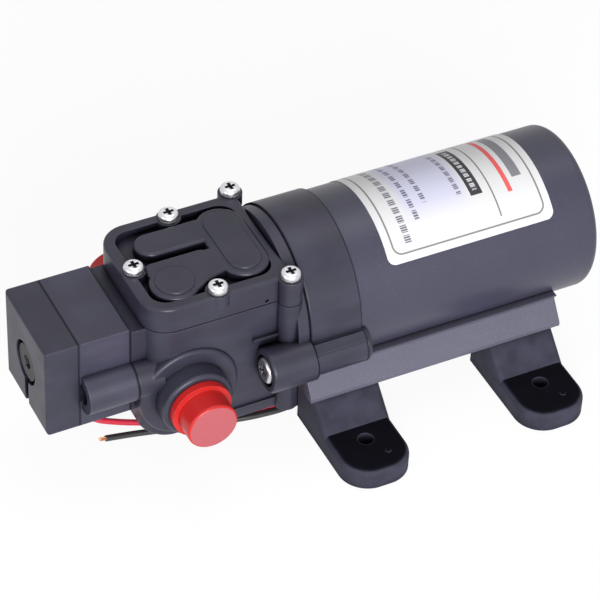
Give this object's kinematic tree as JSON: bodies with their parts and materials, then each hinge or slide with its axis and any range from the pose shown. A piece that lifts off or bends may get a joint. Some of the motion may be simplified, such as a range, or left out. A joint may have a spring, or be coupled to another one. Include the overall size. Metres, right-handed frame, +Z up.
{
  "type": "caravan water pump",
  "caption": "Small electric diaphragm water pump: motor on a cradle with rubber feet, lobed valve head, pressure switch and two capped ports.",
  "frame": {"origin": "centre of the four foot holes, on the surface the feet stand on", "axes": "+X along the motor towards its closed end, +Z up, +Y towards the back port"},
  "size_m": [0.1652, 0.099, 0.0618],
  "materials": {
    "black_housing": "satin black moulding",
    "black_cover": "satin black moulding",
    "painted_can": "satin black paint",
    "cradle_grey": "satin dark grey paint",
    "foot_rubber": "matt black rubber",
    "red_cap": "soft red plastic",
    "bright_screw": "bright plated steel",
    "label_white": "printed film",
    "red_lead": "red insulation",
    "black_lead": "black insulation",
    "steel": "ground steel",
    "zinc": "die cast zinc alloy",
    "bronze": "sintered bronze",
    "copper": "copper",
    "ferrite": "sintered ferrite",
    "carbon": "pressed carbon",
    "seal_rubber": "moulded rubber",
    "valve_rubber": "soft moulded rubber",
    "white_plastic": "acetal",
    "board": "laminated board"
  },
  "bodies": {
    "pump_body": {"motor_can": "painted_can", "rear_bush": "bronze", "field_magnets": "ferrite", "brush_spring_top": "steel", "brush_spring_bottom": "steel", "brush_holders": "bronze", "brush_card": "board", "motor_front_housing": "painted_can", "front_bearing_outer_ring": "steel", "diaphragm": "seal_rubber", "valve_plate": "white_plastic", "cover_gasket": "seal_rubber", "head_cover": "black_cover", "cover_screws": "bright_screw", "pump_housing": "black_housing", "motor_screws": "bright_screw", "switch_base": "black_housing", "switch_cap": "black_cover", "switch_screws": "bright_screw", "switch_diaphragm": "seal_rubber", "switch_spring": "steel", "microswitch": "board", "microswitch_terminals": "bronze", "base_cradle": "cradle_grey", "foot_front_pump": "foot_rubber", "foot_front_motor": "foot_rubber", "foot_back_pump": "foot_rubber", "foot_back_motor": "foot_rubber", "label": "label_white", "red_lead_front": "red_lead", "red_lead_back": "red_lead", "black_lead": "black_lead", "lead_grommet": "seal_rubber"},
    "armature": {"motor_shaft": "steel", "armature_core": "steel", "armature_winding": "copper", "commutator": "copper", "commutator_hub": "board", "front_bearing_inner_ring": "steel", "eccentric_cam": "zinc", "cam_bearing_inner_ring": "steel"},
    "yoke": {"drive_yoke": "zinc", "cam_bearing_outer_ring": "steel", "piston_front": "white_plastic", "piston_back": "white_plastic", "piston_screws": "bright_screw"},
    "cam_bearing_rollers": {"cam_bearing_balls": "steel", "cam_bearing_cage": "white_plastic"},
    "front_bearing_rollers": {"front_bearing_balls": "steel"},
    "inlet_valve_front": {"inlet_valve_front": "valve_rubber"},
    "inlet_valve_back": {"inlet_valve_back": "valve_rubber"},
    "outlet_valve_front": {"outlet_valve_front": "valve_rubber"},
    "outlet_valve_back": {"outlet_valve_back": "valve_rubber"},
    "plunger": {"switch_plunger": "white_plastic"},
    "microswitch_button": {"microswitch_button": "red_cap"},
    "adjuster": {"switch_adjuster": "zinc"},
    "port_cap_front": {"port_cap_front": "red_cap"},
    "port_cap_back": {"port_cap_back": "red_cap"},
    "brush_top": {"brush_top": "carbon"},
    "brush_bottom": {"brush_bottom": "carbon"}
  },
  "joints": [
    {"name": "armature_spin", "type": "hinge", "parent": "pump_body", "child": "armature", "pos_m": [0, 0, 0.037], "axis": [1, 0, 0], "continuous": true},
    {"name": "yoke_orbit", "type": "hinge", "parent": "armature", "child": "yoke", "pos_m": [-0.0536, 0, 0.0362], "axis": [1, 0, 0], "continuous": true},
    {"name": "cam_bearing_roll", "type": "hinge", "parent": "armature", "child": "cam_bearing_rollers", "pos_m": [-0.0536, 0, 0.0362], "axis": [1, 0, 0], "continuous": true},
    {"name": "front_bearing_roll", "type": "hinge", "parent": "pump_body", "child": "front_bearing_rollers", "pos_m": [-0.038, 0, 0.037], "axis": [1, 0, 0], "continuous": true},
    {"name": "inlet_valve_front_lift", "type": "slide", "parent": "pump_body", "child": "inlet_valve_front", "axis": [0, 0, -1], "range_m": [0, 0.0005], "stiffness_N_per_m": 5, "springref_m": -0.0002},
    {"name": "inlet_valve_back_lift", "type": "slide", "parent": "pump_body", "child": "inlet_valve_back", "axis": [0, 0, -1], "range_m": [0, 0.0005], "stiffness_N_per_m": 5, "springref_m": -0.0002},
    {"name": "outlet_valve_front_lift", "type": "slide", "parent": "pump_body", "child": "outlet_valve_front", "axis": [0, 0, 1], "range_m": [0, 0.0008], "stiffness_N_per_m": 5, "springref_m": -0.0002},
    {"name": "outlet_valve_back_lift", "type": "slide", "parent": "pump_body", "child": "outlet_valve_back", "axis": [0, 0, 1], "range_m": [0, 0.0008], "stiffness_N_per_m": 5, "springref_m": -0.0002},
    {"name": "plunger_slide", "type": "slide", "parent": "pump_body", "child": "plunger", "axis": [-1, 0, 0], "range_m": [0, 0.0005], "stiffness_N_per_m": 800, "springref_m": -0.0005},
    {"name": "microswitch_button_slide", "type": "slide", "parent": "pump_body", "child": "microswitch_button", "axis": [-1, 0, 0], "range_m": [0, 0.0005]},
    {"name": "adjuster_turn", "type": "hinge", "parent": "pump_body", "child": "adjuster", "pos_m": [-0.112, 0, 0.037], "axis": [1, 0, 0], "range_deg": [-360, 360]},
    {"name": "port_cap_front_pull", "type": "slide", "parent": "pump_body", "child": "port_cap_front", "axis": [0, -1, 0], "range_m": [0, 0.02]},
    {"name": "port_cap_back_pull", "type": "slide", "parent": "pump_body", "child": "port_cap_back", "axis": [0, 1, 0], "range_m": [0, 0.02]},
    {"name": "brush_top_slide", "type": "slide", "parent": "pump_body", "child": "brush_top", "axis": [0, 0, 1], "range_m": [0, 0.0015], "stiffness_N_per_m": 200, "springref_m": -0.003, "deforming": ["brush_spring_top"]},
    {"name": "brush_bottom_slide", "type": "slide", "parent": "pump_body", "child": "brush_bottom", "axis": [0, 0, -1], "range_m": [0, 0.0015], "stiffness_N_per_m": 200, "springref_m": -0.003, "deforming": ["brush_spring_bottom"]}
  ],
  "couplings": [
    {"joint": "yoke_orbit", "follows": "armature_spin", "ratio": -1},
    {"joint": "cam_bearing_roll", "follows": "armature_spin", "ratio": -0.575},
    {"joint": "front_bearing_roll", "follows": "armature_spin", "ratio": 0.34286},
    {"joint": "microswitch_button_slide", "follows": "plunger_slide", "ratio": 1}
  ]
}
